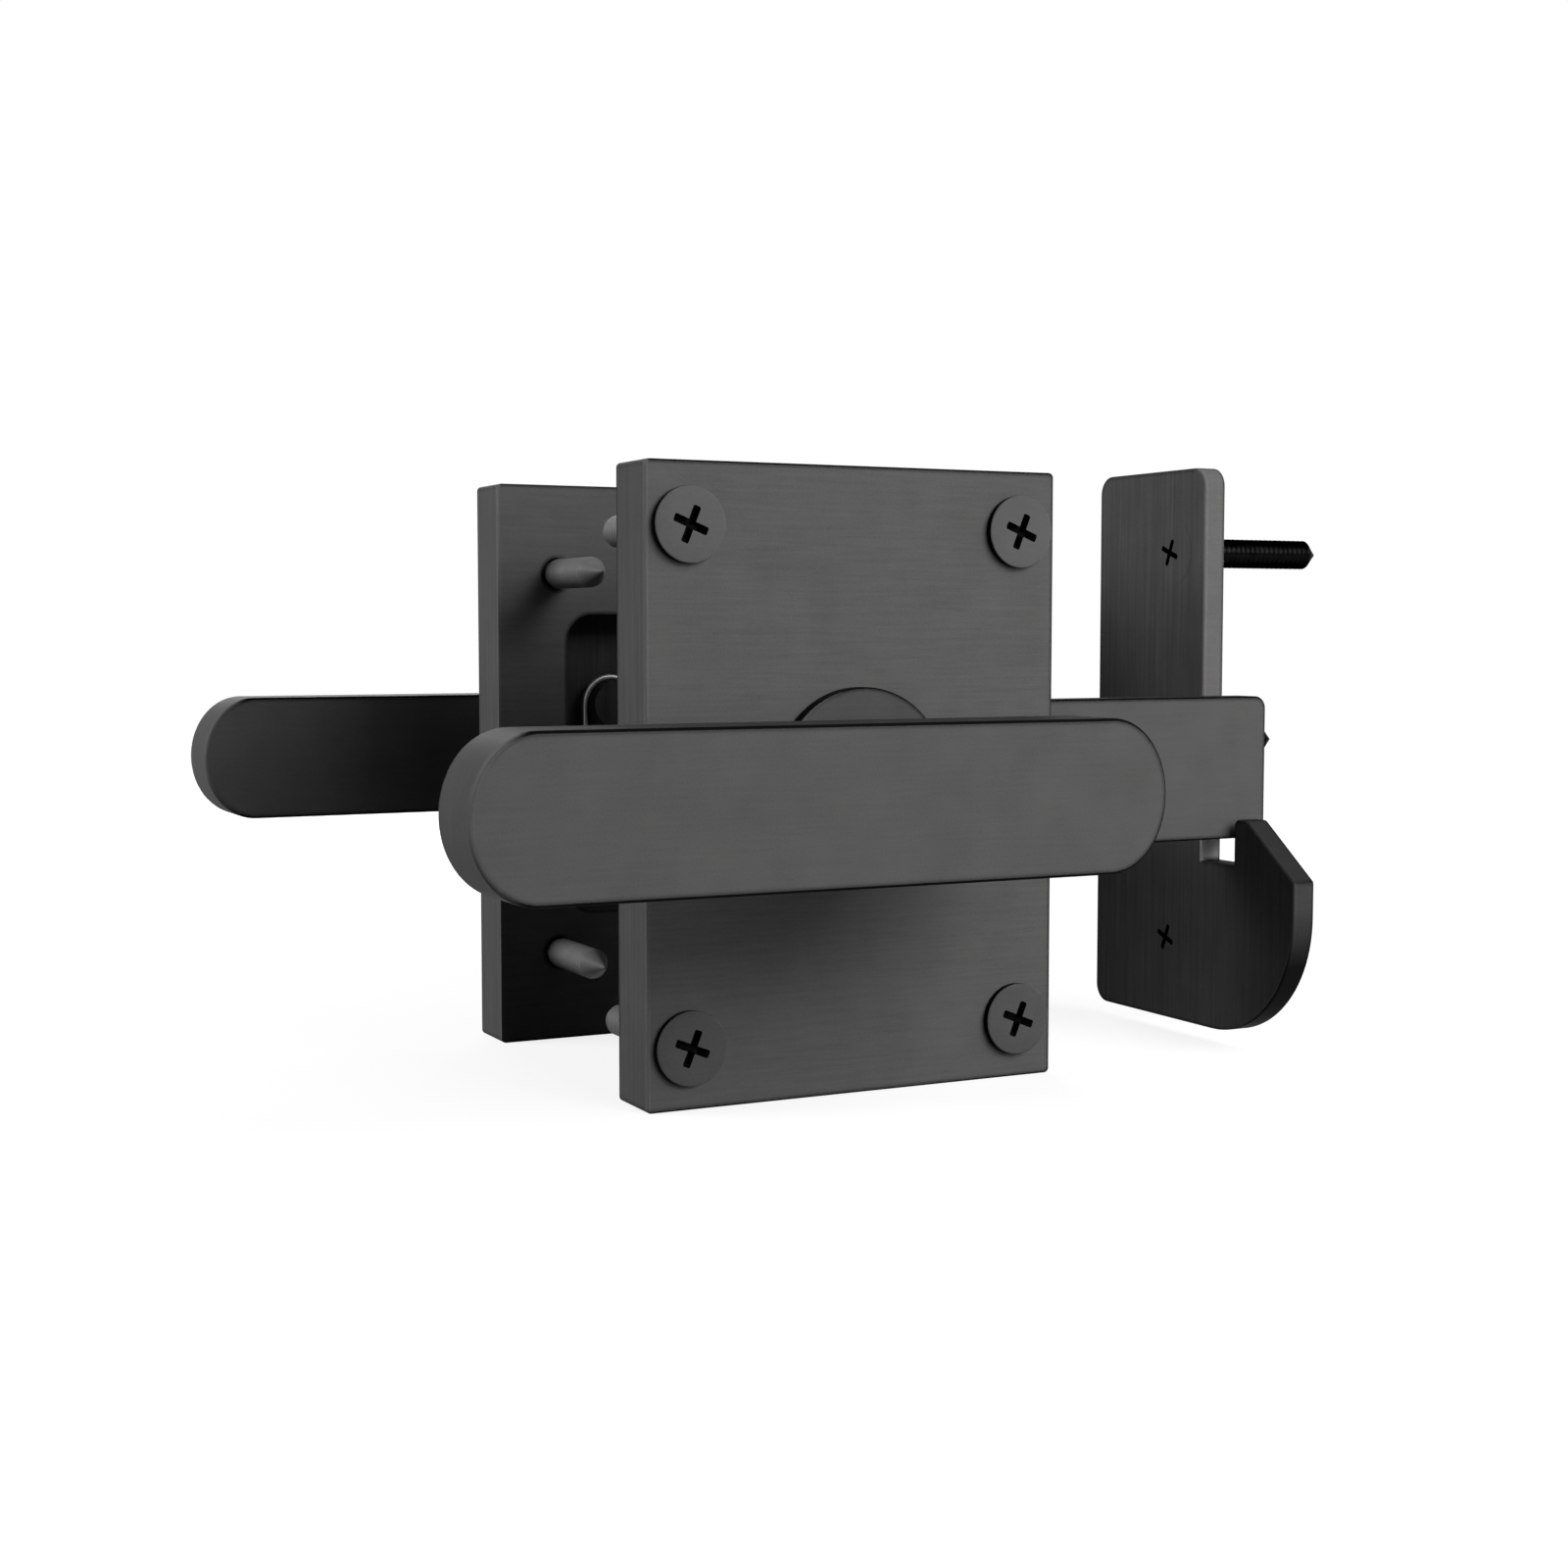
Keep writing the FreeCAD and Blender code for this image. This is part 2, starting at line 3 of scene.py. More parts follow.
import bmesh
import bpy
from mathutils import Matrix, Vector


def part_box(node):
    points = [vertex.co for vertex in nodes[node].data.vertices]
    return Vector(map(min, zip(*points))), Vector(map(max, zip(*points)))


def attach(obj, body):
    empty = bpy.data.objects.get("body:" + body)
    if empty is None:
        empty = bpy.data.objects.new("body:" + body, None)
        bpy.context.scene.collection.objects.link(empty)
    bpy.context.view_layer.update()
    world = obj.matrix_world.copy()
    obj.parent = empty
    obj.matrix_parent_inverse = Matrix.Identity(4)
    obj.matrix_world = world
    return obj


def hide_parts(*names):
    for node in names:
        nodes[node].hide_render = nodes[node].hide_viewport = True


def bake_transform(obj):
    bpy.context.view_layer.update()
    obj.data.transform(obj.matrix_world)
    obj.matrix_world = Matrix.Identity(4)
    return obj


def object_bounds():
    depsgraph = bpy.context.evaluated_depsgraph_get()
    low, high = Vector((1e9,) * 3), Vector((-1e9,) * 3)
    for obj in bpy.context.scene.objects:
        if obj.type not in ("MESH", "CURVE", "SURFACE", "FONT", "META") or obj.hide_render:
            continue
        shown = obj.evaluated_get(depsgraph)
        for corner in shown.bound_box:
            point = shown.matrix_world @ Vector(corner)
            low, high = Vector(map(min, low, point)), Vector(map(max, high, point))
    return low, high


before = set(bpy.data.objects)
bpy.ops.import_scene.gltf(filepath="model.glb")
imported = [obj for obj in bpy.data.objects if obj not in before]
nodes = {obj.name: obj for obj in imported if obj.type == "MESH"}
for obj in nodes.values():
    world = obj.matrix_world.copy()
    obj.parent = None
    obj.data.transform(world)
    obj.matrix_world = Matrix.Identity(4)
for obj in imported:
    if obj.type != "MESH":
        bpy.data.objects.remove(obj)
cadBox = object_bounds()
mm = 0.001
print("frame loaded:", len(nodes), "parts")


# Shader helpers

def startMaterial(name):
    made = bpy.data.materials.new(name)
    made.use_nodes = True
    return made, made.node_tree, made.node_tree.nodes["Principled BSDF"]


def addNode(tree, kind, settings=None, inputs=None):
    node = tree.nodes.new(kind)
    for key, value in (settings or {}).items():
        setattr(node, key, value)
    for key, value in (inputs or {}).items():
        if isinstance(value, bpy.types.NodeSocket):
            tree.links.new(value, node.inputs[key])
        else:
            node.inputs[key].default_value = value
    return node


def mathNode(tree, operation, *values):
    return addNode(tree, "ShaderNodeMath", {"operation": operation}, dict(enumerate(values))).outputs[0]


def grey(tone, warmth=0.0):
    return (tone * (1 + warmth), tone, tone * (1 - warmth), 1.0)


noiseRoughness = 0.55        # of the noise's own detail, the same in every finish


def grainNoise(tree, spot, pitches, detail=2.0):
    # noise whose pitch, in mm, differs along X, Y and Z, which draws it out into fine lines
    scale = tuple(1 / (pitch * mm) for pitch in pitches)
    placed = addNode(tree, "ShaderNodeMapping", {"vector_type": "POINT"}, {"Vector": spot, "Scale": scale})
    noise = addNode(tree, "ShaderNodeTexNoise", {}, {"Vector": placed.outputs[0], "Scale": 1.0,
                                                     "Detail": detail, "Roughness": noiseRoughness})
    return noise.outputs["Fac"]


def spread(tree, value, low, high):
    # takes the middle of a noise from 0.3..0.7 to low..high
    limits = {"Value": value, "From Min": 0.3, "From Max": 0.7, "To Min": low, "To Max": high}
    return addNode(tree, "ShaderNodeMapRange", {"clamp": True}, limits).outputs[0]


def ramp(tree, value, start, end):
    # 0 before start, 1 past end
    return addNode(tree, "ShaderNodeMapRange", {"clamp": True},
                   {"Value": value, "From Min": start, "From Max": end}).outputs[0]


# Satin anthracite coat on the plates, handles, bar, strike and screws

coat = {
    "warmth": 0.012,
    "mottlePitch": 9.0,        # soft clouds in the coat, mm
    "mottleAmount": 0.055,
    "grainAcross": 0.6,        # brushed lines under the coat, mm
    "grainAlong": 14.0,
    "uprightAcross": 1.0,      # and the broader, stronger upright ones on faces that look sideways
    "uprightAlong": 34.0,
    "uprightGain": 1.2,
    "speckPitch": 0.4,         # fine specks in the coat, mm
    "speckAmount": 0.050,
    "peelPitch": 0.9,          # the sprayed coat's own texture, mm
    "peelHeight": 0.006,
    "grainRelief": 4.0,        # the grain's share of that relief
    "roughSpread": 0.04,
    "darkest": 0.03,
    "specular": 0.01,
}

# painted shade along most edges and on faces that look up or down, and a painted highlight along the hinge
# side's front edges
edge = {
    "reach": 1.3,              # how far the line along an edge runs onto the flats, mm
    "samples": 4,
    "dark": -0.85,             # painted shade: darker along most edges
    "level": -0.35,            # more of it along edges that run level
    "light": 0.70,             # and a painted highlight along the front ones on the hinge side
    "paintedLevelShade": -0.72,        # painted shade on faces that look straight up or down
}

# parts of a face's direction at which each effect starts and is full
edgeRanges = {
    "bend": (0.998, 0.96),     # beside an edge, against the direction smoothed over it
    "round": (0.985, 0.93),    # on the round itself, the greatest part
    "front": (0.10, 0.30),
    "hinge": (-0.15, -0.35),
    "forward": (0.05, -0.15),
    "upper": (-0.40, -0.10),
    "runsLevel": (0.05, 0.25),
    "looksUp": (0.88, 0.985),
}


def paintedEdgeShading(tree, facing, onRounds):
    # painted shade along edges and on faces that look up or down, and a painted highlight along the hinge
    # side's front edges: 0 on the flats, the edge's own gain just beside it and, where asked, on the round
    # itself
    def share(value, name):
        return ramp(tree, value, *edgeRanges[name])

    bevel = addNode(tree, "ShaderNodeBevel", {"samples": edge["samples"]},
                    {"Radius": edge["reach"] * mm}).outputs[0]
    surface = addNode(tree, "ShaderNodeNewGeometry").outputs["Normal"]
    bend = addNode(tree, "ShaderNodeVectorMath", {"operation": "DOT_PRODUCT"}, {0: bevel, 1: surface})
    line = share(bend.outputs["Value"], "bend")
    upright = mathNode(tree, "ABSOLUTE", facing.outputs["Z"])
    if onRounds:
        sideways = mathNode(tree, "ABSOLUTE", facing.outputs["X"])
        forward = mathNode(tree, "ABSOLUTE", facing.outputs["Y"])
        greatest = mathNode(tree, "MAXIMUM", mathNode(tree, "MAXIMUM", sideways, forward), upright)
        front = mathNode(tree, "MULTIPLY", share(forward, "front"), share(greatest, "round"))
        line = mathNode(tree, "MAXIMUM", line, front)
    onPart = addNode(tree, "ShaderNodeVectorTransform", {"vector_type": "NORMAL", "convert_from": "WORLD",
                                                         "convert_to": "OBJECT"}, {"Vector": bevel})
    turned = addNode(tree, "ShaderNodeSeparateXYZ", {}, {"Vector": onPart.outputs[0]})
    hingeSide = mathNode(tree, "MULTIPLY", share(turned.outputs["X"], "hinge"),
                         share(turned.outputs["Y"], "forward"))
    upper = share(turned.outputs["Z"], "upper")
    light = mathNode(tree, "MULTIPLY", mathNode(tree, "MULTIPLY", hingeSide, upper), edge["light"])
    runsLevel = share(mathNode(tree, "ABSOLUTE", turned.outputs["Z"]), "runsLevel")
    dark = mathNode(tree, "MULTIPLY_ADD", runsLevel, edge["level"], edge["dark"])
    gain = mathNode(tree, "MULTIPLY_ADD", dark, mathNode(tree, "SUBTRACT", 1.0, hingeSide), light)
    level = mathNode(tree, "MULTIPLY", share(upright, "looksUp"), edge["paintedLevelShade"])
    return mathNode(tree, "MULTIPLY_ADD", line, gain, level)


# the coat's colour also carries painted edge shade and highlight, and where asked painted shade and light by
# height
def satinCoat(name, look):
    made, tree, shader = startMaterial(name)
    grainAmount, roughness, edges = look["grain"], look["rough"], look.get("edges", "round")
    where = addNode(tree, "ShaderNodeTexCoord")
    spot = where.outputs["Object"]
    across, along = coat["grainAcross"], coat["grainAlong"]
    flatGrain = grainNoise(tree, spot, (along, across, across))
    broad = coat["uprightAcross"]
    uprightGrain = grainNoise(tree, spot, (broad, broad, coat["uprightAlong"]), detail=3.0)
    facing = addNode(tree, "ShaderNodeSeparateXYZ", {}, {"Vector": where.outputs["Normal"]})
    sideways = mathNode(tree, "ABSOLUTE", facing.outputs["X"])
    grain = addNode(tree, "ShaderNodeMix", {"data_type": "FLOAT"},
                    {"Factor": sideways, "A": flatGrain, "B": uprightGrain}).outputs[0]
    clouds = grainNoise(tree, spot, (coat["mottlePitch"],) * 3, detail=4.0)
    stronger = mathNode(tree, "MULTIPLY_ADD", sideways, coat["uprightGain"], 1.0)
    brushed = mathNode(tree, "MULTIPLY_ADD", spread(tree, grain, -grainAmount, grainAmount), stronger, 1.0)
    gain = mathNode(tree, "ADD", brushed, spread(tree, clouds, -coat["mottleAmount"], coat["mottleAmount"]))
    specks = grainNoise(tree, spot, (coat["speckPitch"],) * 3)
    gain = mathNode(tree, "ADD", gain, spread(tree, specks, -coat["speckAmount"], coat["speckAmount"]))
    # painted edge shade and highlight
    if edges:
        gain = mathNode(tree, "ADD", gain, paintedEdgeShading(tree, facing, edges == "round"))
    if "paintedShading" in look:        # painted shade and painted light: the tone changes from one height to another, both in mm
        paintedShading = look["paintedShading"]
        height = addNode(tree, "ShaderNodeSeparateXYZ", {}, {"Vector": spot}).outputs["Z"]
        share = ramp(tree, height, paintedShading["from"] * mm, paintedShading["to"] * mm)
        gain = mathNode(tree, "MULTIPLY", gain, mathNode(tree, "MULTIPLY_ADD", share, paintedShading["gain"] - 1, 1.0))
    gain = mathNode(tree, "MAXIMUM", gain, coat["darkest"])
    colour = addNode(tree, "ShaderNodeVectorMath", {"operation": "SCALE"},
                     {0: grey(look["tone"], coat["warmth"])[:3], "Scale": gain}).outputs[0]
    peel = grainNoise(tree, spot, (coat["peelPitch"],) * 3, detail=3.0)
    relief = mathNode(tree, "ADD", peel, mathNode(tree, "MULTIPLY", grain, coat["grainRelief"] * grainAmount))
    bump = addNode(tree, "ShaderNodeBump", {}, {"Strength": 1.0, "Distance": coat["peelHeight"] * mm,
                                                "Height": relief})
    tree.links.new(colour, shader.inputs["Base Color"])
    rough = spread(tree, grain, roughness - coat["roughSpread"], roughness + coat["roughSpread"])
    tree.links.new(rough, shader.inputs["Roughness"])
    tree.links.new(bump.outputs[0], shader.inputs["Normal"])
    shader.inputs["Specular IOR Level"].default_value = coat["specular"]
    return made


# edges: "round" has the painted edge line on the rounds too, "cut" only beside them, and None has no line
plateCoat = satinCoat("plateCoat", {"tone": 0.116, "grain": 0.056, "rough": 0.55})
handleCoat = satinCoat("handleCoat", {"tone": 0.108, "grain": 0.030, "rough": 0.55})
# a darker copy of the handle coat: painted shade on the rear handle
rearHandleShadedCoat = satinCoat("rearHandleShadedCoat", {"tone": 0.094, "grain": 0.030, "rough": 0.55})
barCoat = satinCoat("barCoat", {"tone": 0.111, "grain": 0.032, "rough": 0.55})
strikeLook = {
    "tone": 0.108, "grain": 0.070, "rough": 0.55,
    "paintedShading": {"from": 42.0, "to": 24.0, "gain": 0.80},        # painted shade: a little darker below its top screw
}
strikeCoat = satinCoat("strikeCoat", strikeLook)
# a lighter copy of the strike's coat on its front edge: painted light
strikeEdge = satinCoat("strikeEdge", {
    "tone": 0.155, "grain": 0.040, "rough": 0.55, "edges": "cut",
    "paintedShading": {"from": -14.6, "to": -15.4, "gain": 2.4},       # painted light: bright in the notch, beneath the bar
})
strikeRamp = satinCoat("strikeRamp", {        # painted shade: dark on the hook's ramp
    "tone": 0.034, "grain": 0.040, "rough": 0.50, "edges": "cut",
})
# painted shade: a darker copy of the strike's coat on the hook's nose, darker still towards its lower end
strikeNose = satinCoat("strikeNose", {
    "tone": 0.062, "grain": 0.040, "rough": 0.50, "edges": "cut",
    "paintedShading": {"from": -27.0, "to": -40.0, "gain": 0.12},
})
# the strike's coat over its flush screw heads, with the same painted shade below the top screw
strikeFilm = satinCoat("strikeFilm", dict(strikeLook, edges=None))
bushCoat = satinCoat("bushCoat", {"tone": 0.086, "grain": 0.038, "rough": 0.55})
screwCoat = satinCoat("screwCoat", {
    "tone": 0.121, "grain": 0.022, "rough": 0.50, "edges": None,
    "paintedShading": {"from": 20.0, "to": -20.0, "gain": 0.80},       # painted shade: the lower heads are the darker ones
})


# Bare and plated metal, black oxide, nylon, and painted shade in the dark pocket and on undersides

plating = {
    "roughSpread": 0.07,
    "underReach": (-0.8, 0.1),        # heights of a face's direction between painted shade and plain
}


def platedSteel(name, look):
    made, tree, shader = startMaterial(name)
    where = addNode(tree, "ShaderNodeTexCoord")
    spot = where.outputs["Object"]
    lines = grainNoise(tree, spot, look["lines"], detail=3.0)
    clouds = grainNoise(tree, spot, (look["cloud"],) * 3, detail=4.0)
    mixed = mathNode(tree, "MULTIPLY", spread(tree, lines, 1 - look["lineAmount"], 1.0),
                     spread(tree, clouds, 1 - look["cloudAmount"], 1.0))
    if "under" in look:        # painted shade: darker on the side that looks down
        facing = addNode(tree, "ShaderNodeSeparateXYZ", {}, {"Vector": where.outputs["Normal"]})
        upward = ramp(tree, facing.outputs["Z"], *plating["underReach"])
        mixed = mathNode(tree, "MULTIPLY", mixed,
                         mathNode(tree, "MULTIPLY_ADD", upward, 1 - look["under"], look["under"]))
    colour = addNode(tree, "ShaderNodeVectorMath", {"operation": "SCALE"},
                     {0: grey(look["tone"], look["warmth"])[:3], "Scale": mixed}).outputs[0]
    tree.links.new(colour, shader.inputs["Base Color"])
    wave = plating["roughSpread"]
    rough = spread(tree, lines, look["rough"] - wave, look["rough"] + wave)
    tree.links.new(rough, shader.inputs["Roughness"])
    bump = addNode(tree, "ShaderNodeBump", {}, {"Strength": 1.0, "Distance": look["relief"] * mm,
                                                "Height": lines})
    tree.links.new(bump.outputs[0], shader.inputs["Normal"])
    shader.inputs["Metallic"].default_value = look["metal"]
    shader.inputs["Specular IOR Level"].default_value = look["specular"]
    shader.inputs["Specular Tint"].default_value = grey(look.get("rim", 1.0))
    return made


zincPlate = platedSteel("zincPlate", {
    "tone": 0.42, "warmth": 0.015, "metal": 1.0, "specular": 0.5, "rough": 0.42, "relief": 0.008,
    "lines": (0.5, 8.0, 0.5), "lineAmount": 0.16, "cloud": 5.0, "cloudAmount": 0.14,
})
# painted shade on the shanks' undersides
shankSteel = platedSteel("shankSteel", {
    "tone": 0.21, "warmth": 0.01, "metal": 0.0, "specular": 0.1, "rough": 0.45, "relief": 0.004,
    "lines": (0.6, 0.6, 0.6), "lineAmount": 0.12, "cloud": 4.0, "cloudAmount": 0.12, "under": 0.3,
})
# black oxide on the circlip and grub screws, and painted shade as black on the bushes' turned sides and the
# screw heads' sides and recesses
blackOxideAndShade = platedSteel("blackOxideAndShade", {
    "tone": 0.005, "warmth": 0.0, "metal": 0.0, "specular": 0.012, "rough": 0.3, "relief": 0.003,
    "lines": (0.7, 0.7, 0.7), "lineAmount": 0.3, "cloud": 2.5, "cloudAmount": 0.3,
})
postSteel = platedSteel("postSteel", {        # polished black shanks of the strike's screws
    "tone": 0.0065, "warmth": 0.03, "metal": 1.0, "specular": 0.5, "rough": 0.2, "relief": 0.002,
    "lines": (5.0, 0.9, 0.9), "lineAmount": 0.4, "cloud": 2.5, "cloudAmount": 0.3, "rim": 0.1,
})
springSteel = platedSteel("springSteel", {
    "tone": 0.36, "warmth": 0.01, "metal": 0.6, "specular": 0.4, "rough": 0.38, "relief": 0.003,
    "lines": (0.3, 0.3, 0.3), "lineAmount": 0.12, "cloud": 3.0, "cloudAmount": 0.1,
})
blackNylon = platedSteel("blackNylon", {
    "tone": 0.02, "warmth": 0.0, "metal": 0.0, "specular": 0.1, "rough": 0.6, "relief": 0.01,
    "lines": (0.25, 0.25, 0.25), "lineAmount": 0.15, "cloud": 4.0, "cloudAmount": 0.1,
})
# painted shade in the rear plate's pocket
pocketShade = platedSteel("pocketShade", {
    "tone": 0.045, "warmth": 0.0, "metal": 0.0, "specular": 0.03, "rough": 0.6, "relief": 0.01,
    "lines": (0.8, 0.8, 14.0), "lineAmount": 0.35, "cloud": 6.0, "cloudAmount": 0.25,
})

finishes = {
    "front_plate": plateCoat,
    "front_handle": handleCoat, "rear_handle": rearHandleShadedCoat,
    "latch_bar": barCoat,
    "front_neck_washer": blackNylon, "rear_neck_washer": blackNylon,
    "spindle": zincPlate, "bar_hub": zincPlate, "spring_carrier": zincPlate,
    "rear_circlip": blackOxideAndShade, "hub_grub_screw": blackOxideAndShade,
    "front_grub_screw": blackOxideAndShade, "rear_grub_screw": blackOxideAndShade,
}
for nodeName, finish in finishes.items():
    nodes[nodeName].data.materials.clear()
    nodes[nodeName].data.materials.append(finish)


def dressFaces(nodeName, finishList, choose):
    # several finishes on one part, chosen face by face
    mesh = nodes[nodeName].data
    mesh.materials.clear()
    for finish in finishList:
        mesh.materials.append(finish)
    for face in mesh.polygons:
        face.material_index = int(choose(face))


flatWay = 0.8        # a face that looks this far along Y is a bush's flat front or back


def turnedSide(face):
    return abs(face.normal.y) < flatWay


rearLow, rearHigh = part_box("rear_plate")
pocketReach = {"x": 29.0 * mm, "z": 33.0 * mm, "skin": 0.3 * mm}


def inPocket(face):
    # behind the rear plate's inner face and inside its rim
    middle = face.center
    deep = rearLow.y + pocketReach["skin"] < middle.y < rearHigh.y - pocketReach["skin"]
    return deep and abs(middle.x) < pocketReach["x"] and abs(middle.z) < pocketReach["z"]


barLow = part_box("latch_bar")[0].z
strikeFaces = {
    "hookFrom": -1.0 * mm,     # the hook is what stands in front of this
    "edgeWay": -0.08,          # how far forwards a face of the front edge looks
    "hookWay": -0.3,           # and one of the hook's
    "rampWay": 0.3,            # how far upwards its ramp looks
}


def strikeFinish(face):
    # 0 on the flats, 1 on the front edge down into the notch, 2 on the hook's nose, 3 on its ramp
    way, middle = face.normal, face.center
    if middle.y > strikeFaces["hookFrom"]:
        return way.y < strikeFaces["edgeWay"] and middle.z > barLow
    if way.y > strikeFaces["hookWay"]:
        return 0
    return 3 if way.z > strikeFaces["rampWay"] else 2


# painted shade as black on the bushes' turned sides and in the rear plate's pocket, and lit and shaded copies
# of the strike's coat face by face
dressed = {
    "front_bush": ((bushCoat, blackOxideAndShade), turnedSide),
    "rear_bush": ((bushCoat, blackOxideAndShade), turnedSide),
    "rear_plate": ((plateCoat, pocketShade), inPocket),
    "strike_plate": ((strikeCoat, strikeEdge, strikeNose, strikeRamp), strikeFinish),
}
for nodeName, (finishList, choose) in dressed.items():
    dressFaces(nodeName, finishList, choose)
print("finishes on", len(finishes) + len(dressed), "parts")


# Geometry node helpers

def newTree(name, sockets):
    tree = bpy.data.node_groups.new(name, "GeometryNodeTree")
    for label, kind in sockets:
        tree.interface.new_socket(label, in_out="INPUT", socket_type="NodeSocket" + kind)
    tree.interface.new_socket("Geometry", in_out="OUTPUT", socket_type="NodeSocketGeometry")
    given = tree.nodes.new("NodeGroupInput").outputs
    return tree, given


def paint(tree, geometry, material, selection=None):
    chosen = {"Geometry": geometry, "Material": material}
    if selection is not None:
        chosen["Selection"] = selection
    return addNode(tree, "GeometryNodeSetMaterial", {}, chosen).outputs[0]


def endTree(tree, geometry):
    addNode(tree, "NodeGroupOutput", {}, {"Geometry": geometry})


def growPiece(name, tree, values, mesh=None):
    # runs a tree once and keeps the result as a plain mesh
    piece = bpy.data.objects.new(name, mesh or bpy.data.meshes.new(name))
    bpy.context.scene.collection.objects.link(piece)
    modifier = piece.modifiers.new(tree.name, "NODES")
    modifier.node_group = tree
    for item in tree.interface.items_tree:
        if item.in_out == "INPUT" and item.name in values:
            modifier[item.identifier] = values[item.name]
    graph = bpy.context.evaluated_depsgraph_get()
    grown = bpy.data.meshes.new_from_object(piece.evaluated_get(graph), preserve_all_data_layers=True,
                                            depsgraph=graph)
    piece.modifiers.clear()
    piece.data = grown
    grown.name = name
    return piece


# Screws: one mesh for the plates and one for the strike, with the head's face at z = 0

plateScrew = {
    "headRadius": 7.1, "headHeight": 1.6, "lip": 0.3, "undercut": 0.1,
    "shankRadius": 2.7, "threadRadius": 3.2, "threadDepth": 0.12, "threadPitch": 1.3,
    "plain": 14.9, "length": 41.6, "point": 6.8,
    "recessReach": 3.6, "recessWidth": 1.55, "recessDepth": 2.6, "recessTurn": -22.0,
    "film": 0.0,        # thickness of a coat over a flush head
}
strikeScrew = dict(plateScrew, headRadius=6.36, headHeight=0.0, lip=0.0, undercut=0.0, plain=5.2,
                   length=40.0, point=3.6, recessReach=3.0, recessWidth=1.15,
                   threadDepth=0.03, film=0.04)        # coated over with the plate
filmLap = 1.3        # how far that coat runs onto the plate, mm
screwSides = 40
lipSteps = 4
threadSteps = 8        # rings for each turn of the thread
threadFlank = 0.28        # part of the pitch that each side of a thread takes
pointRings = (0.15, 0.3, 0.45, 0.6, 0.75, 0.9)        # parts of the point's length
sharpDeg = 32
recess = {
    "clip": 0.25,              # the arms' ends, mm
    "armTaper": 0.45,          # part of the arms' width that stays all the way down
    "floorScale": 0.6,         # the cross at the recess's floor
    "floorDepth": 0.8,
}
screwPaints = ("Head coat", "Black", "Shank")
onHead, onBlack, onShank = range(len(screwPaints))        # finish numbers, in the same order


def crossOutline(form, scale, depth):
    # closed cross with clipped arm ends, as points about the screw's axis
    reach = form["recessReach"] * scale
    half = form["recessWidth"] / 2 * (recess["armTaper"] + (1 - recess["armTaper"]) * scale)
    clip = recess["clip"] * scale
    arm = [(half, half), (reach - clip, half), (reach, half - clip), (reach, clip - half),
           (reach - clip, -half)]
    points = []
    for quarter in range(4):
        turn = math.radians(form["recessTurn"] - 90 * quarter)
        for x, y in arm:
            points.append((x * math.cos(turn) - y * math.sin(turn),
                           x * math.sin(turn) + y * math.cos(turn), -depth))
    return points


def screwProfile(form):
    # rows of height, radius and depth of the thread's root below the crest
    head, lip, shank = form["headRadius"], form["lip"], form["shankRadius"]
    rows = []
    if lip:
        for step in range(lipSteps + 1):
            turn = math.radians(90 * step / lipSteps)
            rows.append((lip * (math.cos(turn) - 1), head - lip + lip * math.sin(turn), 0.0))
        rows.append((-form["headHeight"], head - form["undercut"], 0.0))
        rows.append((-form["headHeight"], shank, 0.0))
    else:
        rows.append((form["film"], head + filmLap, 0.0))
        rows.append((0.0, head, 0.0))
        rows.append((shank - head, shank, 0.0))        # countersunk at 45 degrees
    crest = form["threadRadius"]
    rows.append((-form["plain"], shank, 0.0))
    low = form["point"] - form["length"]
    turns = (-form["plain"] - low) / form["threadPitch"]
    count = round(turns * threadSteps)
    for step in range(count + 1):
        share = step / count
        height = -form["plain"] + (low + form["plain"]) * share
        run = min(1.0, step / threadSteps)
        rows.append((height, shank + (crest - shank) * run, form["threadDepth"] * run))
    for share in pointRings:
        radius = crest * (1 - share)
        rows.append((low - form["point"] * share, radius, form["threadDepth"] * (1 - share)))
    return rows


